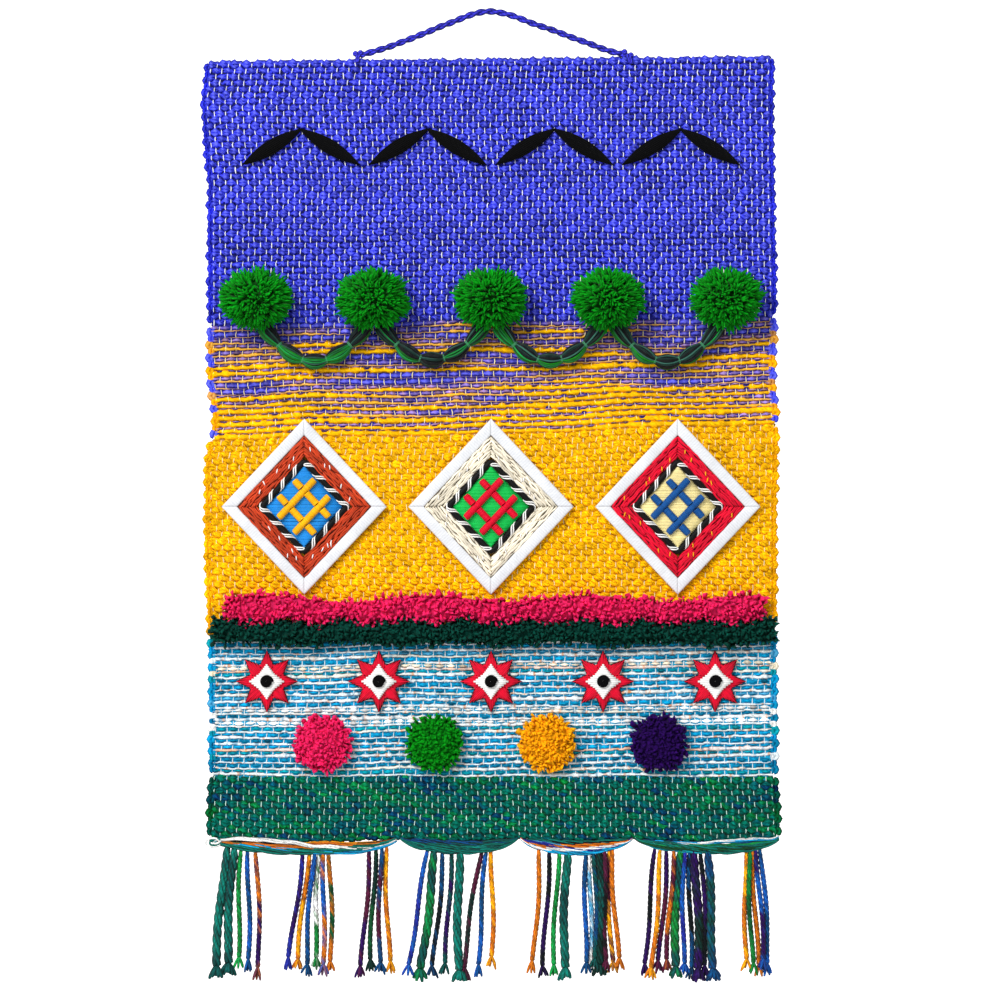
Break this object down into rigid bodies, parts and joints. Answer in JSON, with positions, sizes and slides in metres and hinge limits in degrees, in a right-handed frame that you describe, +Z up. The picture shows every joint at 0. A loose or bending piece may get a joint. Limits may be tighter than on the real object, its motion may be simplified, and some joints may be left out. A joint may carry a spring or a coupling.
{
  "type": "fabric wall hanging with a hanging cord",
  "caption": "Hand-woven wool wall hanging with pompoms, pile bands, stitched medallions and a knotted fringe, hung by a twisted cord.",
  "frame": {"origin": "the nail under the top bend of the hanging cord, in the plane of the wall", "axes": "+Z up along the wall, +X to the right seen from the front, +Y into the wall: the cloth's flat back is the plane Y = 0 and the decorated face looks along -Y"},
  "size_m": [0.4343, 0.0386, 0.7307],
  "materials": {
    "woven_wool": "matt thick wool weave in bands of violet-blue, gold, water blue and teal with white warp",
    "twisted_cord": "violet-blue wool cord of two plies",
    "fringe_yarn": "loose and plied yarn in teal, green, blue, violet, orange and brown",
    "pine_wool": "cut wool pompom",
    "hank_wool": "hank of dark green, black and bright green yarn bound with fine thread",
    "black_felt": "black felt and black stitching",
    "white_braid": "white satin braid",
    "wrapped_braid": "black cord wound with white",
    "brick_stitch": "brick-red long stitch",
    "cream_stitch": "cream stitch",
    "crimson_stitch": "crimson long stitch",
    "blue_satin": "blue satin thread",
    "green_satin": "green satin thread",
    "cream_satin": "pale cream satin thread",
    "gold_wrap": "padded bar wound with gold thread",
    "crimson_wrap": "padded bar wound with crimson thread",
    "blue_wrap": "padded bar wound with blue thread",
    "pink_pile": "pink cut wool pile",
    "dark_green_pile": "dark green cut wool pile",
    "green_pile": "green cut wool pile",
    "gold_pile": "gold cut wool pile",
    "purple_pile": "purple cut wool pile",
    "white_stitch": "white satin stitch"
  },
  "bodies": {
    "root": {"cloth": "woven_wool", "hem_fringe_1": "fringe_yarn", "hem_fringe_2": "fringe_yarn", "hem_fringe_3": "fringe_yarn", "hem_fringe_4": "fringe_yarn", "hanging_cord": "twisted_cord", "knot_left": "twisted_cord", "knot_right": "twisted_cord", "leaf_pair_1": "black_felt", "leaf_pair_2": "black_felt", "leaf_pair_3": "black_felt", "leaf_pair_4": "black_felt", "pompom_1": "pine_wool", "pompom_2": "pine_wool", "pompom_3": "pine_wool", "pompom_4": "pine_wool", "pompom_5": "pine_wool", "hank_1": "hank_wool", "hank_2": "hank_wool", "hank_3": "hank_wool", "hank_4": "hank_wool", "braid_left": "white_braid", "braid_middle": "white_braid", "braid_right": "white_braid", "border_left": "brick_stitch", "border_middle": "cream_stitch", "border_right": "crimson_stitch", "wrapped_cord_left": "wrapped_braid", "wrapped_cord_middle": "wrapped_braid", "wrapped_cord_right": "wrapped_braid", "panel_left": "blue_satin", "panel_middle": "green_satin", "panel_right": "cream_satin", "bars_left": "gold_wrap", "bars_middle": "crimson_wrap", "bars_right": "blue_wrap", "pink_pile": "pink_pile", "green_pile": "dark_green_pile", "star_red_1": "crimson_stitch", "star_red_2": "crimson_stitch", "star_red_3": "crimson_stitch", "star_red_4": "crimson_stitch", "star_red_5": "crimson_stitch", "star_white_1": "white_stitch", "star_white_2": "white_stitch", "star_white_3": "white_stitch", "star_white_4": "white_stitch", "star_white_5": "white_stitch", "star_black_1": "black_felt", "star_black_2": "black_felt", "star_black_3": "black_felt", "star_black_4": "black_felt", "star_black_5": "black_felt", "roundel_1": "pink_pile", "roundel_2": "green_pile", "roundel_3": "gold_pile", "roundel_4": "purple_pile"}
  },
  "joints": []
}
